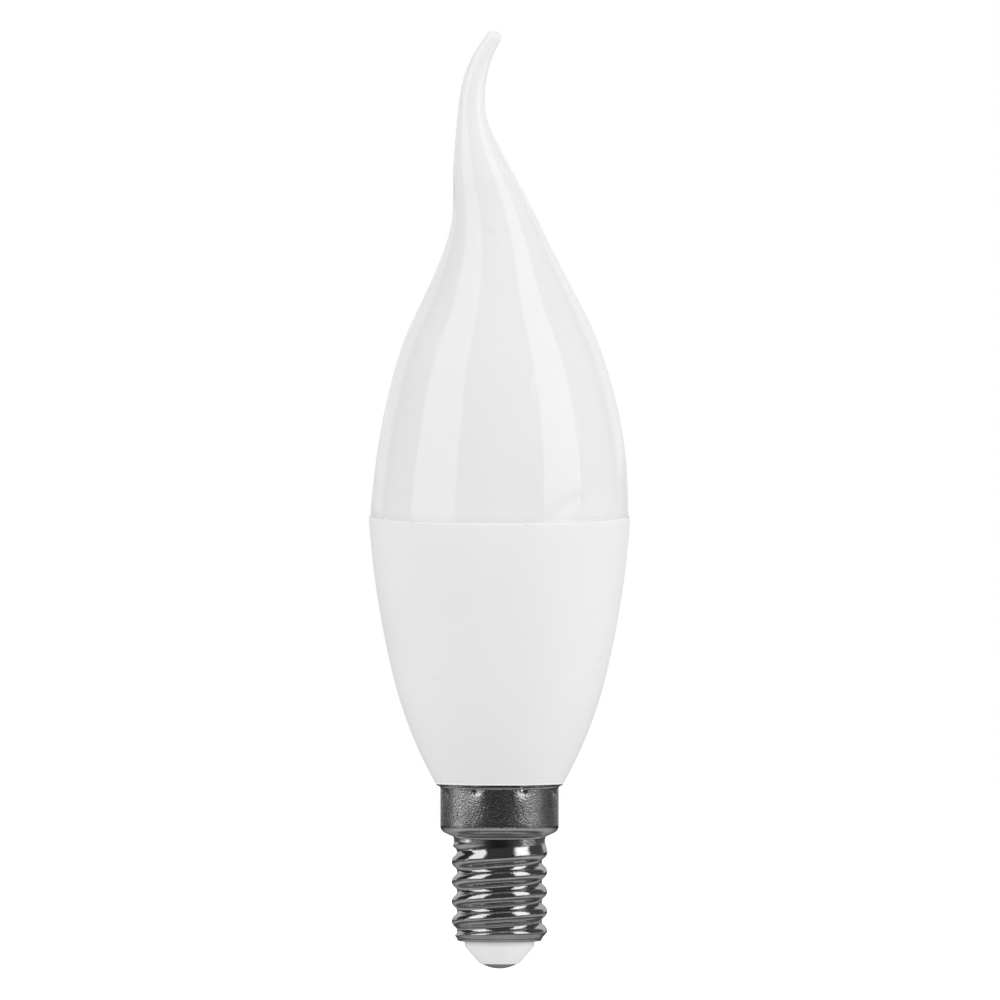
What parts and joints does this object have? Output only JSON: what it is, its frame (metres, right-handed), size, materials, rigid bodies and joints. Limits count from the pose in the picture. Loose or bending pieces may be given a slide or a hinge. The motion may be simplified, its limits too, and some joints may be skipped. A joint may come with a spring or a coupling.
{
  "type": "candle bulb",
  "caption": "Opal candle bulb with a bent flame tip, a closed white housing and a small rolled screw cap.",
  "frame": {"origin": "lowest point of the centre contact, on the axis of the screw cap", "axes": "+Z along the bulb's axis from the cap to the tip of the flame; the tail of the flame leans towards -X before it curls back to the axis; -Y is the side that the picture shows"},
  "size_m": [0.0372, 0.0372, 0.1335],
  "materials": {
    "opal_plastic": "smooth glossy opal polycarbonate, milky white",
    "white_plastic": "fine matte moulded white plastic",
    "cap_metal": "bright nickel plate on rolled sheet, slightly mottled",
    "insulator_plastic": "smooth moulded white plastic",
    "contact_metal": "pressed and plated, satin"
  },
  "bodies": {
    "root": {"diffuser": "opal_plastic", "housing": "white_plastic", "screw_cap": "cap_metal", "insulator": "insulator_plastic", "centre_contact": "contact_metal"}
  },
  "joints": []
}
